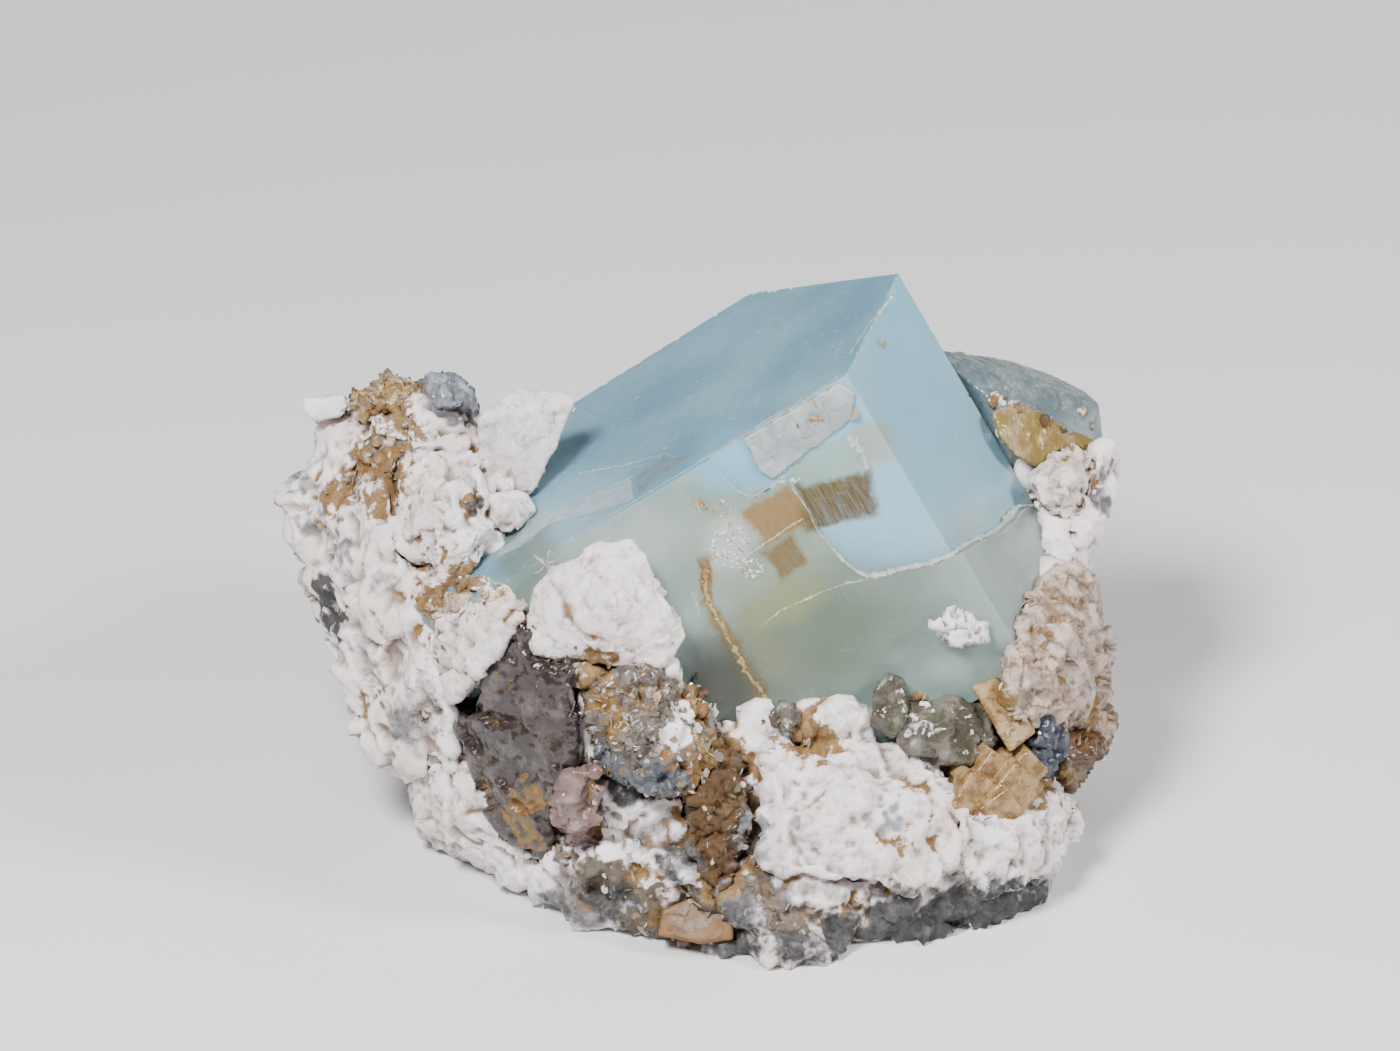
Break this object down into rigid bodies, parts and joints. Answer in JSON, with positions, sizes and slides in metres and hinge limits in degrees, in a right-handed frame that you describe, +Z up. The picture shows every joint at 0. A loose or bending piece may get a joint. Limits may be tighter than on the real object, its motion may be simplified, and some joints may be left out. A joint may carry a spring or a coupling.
{
  "type": "aquamarine crystal on matrix",
  "caption": "Stout pale blue hexagonal beryl crystal leaning in a lump of white feldspar, quartz and mica matrix; a loose mineral specimen that rests on the flat of its underside.",
  "frame": {"origin": "on the flat of the underside that the specimen rests on, below the middle of the lump", "axes": "+X along the longest extent, to the right of the front view; +Y towards the back; +Z up, out of the rest flat"},
  "size_m": [0.0999, 0.0813, 0.0645],
  "materials": {
    "aquamarine": "glassy, milky translucent pale blue beryl, worn and finely etched faces",
    "grey_beryl": "glassy grey blue beryl",
    "brown_quartz": "dark brown translucent quartz",
    "clay": "iron-stained clay, matt",
    "clear_quartz": "glassy grey green quartz",
    "dark": "black, glassy break",
    "feldspar": "chalky white to pinkish feldspar, broken surface",
    "white_feldspar": "chalky white feldspar",
    "grey_quartz": "grey blue glassy quartz",
    "honey": "glassy honey yellow",
    "frosted_beryl": "frosted, greyish white beryl",
    "rock": "broken feldspar, quartz and mica, matt with glints",
    "mica": "tan and silvery mica scales, pearly",
    "ochre": "honey to ochre translucent crystal",
    "rose_quartz": "glassy pink to orange quartz",
    "smoky_quartz": "glassy grey brown quartz",
    "tan_spar": "tan, satin cleavage faces",
    "tan_quartz": "tan to pink granular quartz and feldspar"
  },
  "bodies": {
    "root": {"aquamarine": "aquamarine", "back_crystal": "grey_beryl", "brown_quartz": "brown_quartz", "clay_seam": "clay", "clear_quartz": "clear_quartz", "dark_grain": "dark", "feldspar_boss": "feldspar", "feldspar_chip": "white_feldspar", "feldspar_crown": "white_feldspar", "feldspar_front_block": "feldspar", "feldspar_front_wedge": "feldspar", "feldspar_knob": "feldspar", "feldspar_lower_left": "feldspar", "feldspar_right_back": "white_feldspar", "feldspar_right_end": "feldspar", "feldspar_slab": "feldspar", "feldspar_tooth": "feldspar", "feldspar_top_block": "white_feldspar", "foot_quartz": "clear_quartz", "grey_quartz": "grey_quartz", "honey_block": "honey", "inset_crystal": "frosted_beryl", "matrix": "rock", "mica_lump": "mica", "mica_rosettes": "mica", "ochre_crystal": "ochre", "pink_quartz": "rose_quartz", "small_quartz": "clear_quartz", "smoky_quartz": "smoky_quartz", "tan_block": "tan_spar", "tan_cluster": "tan_spar", "tan_quartz": "tan_quartz"}
  },
  "joints": []
}
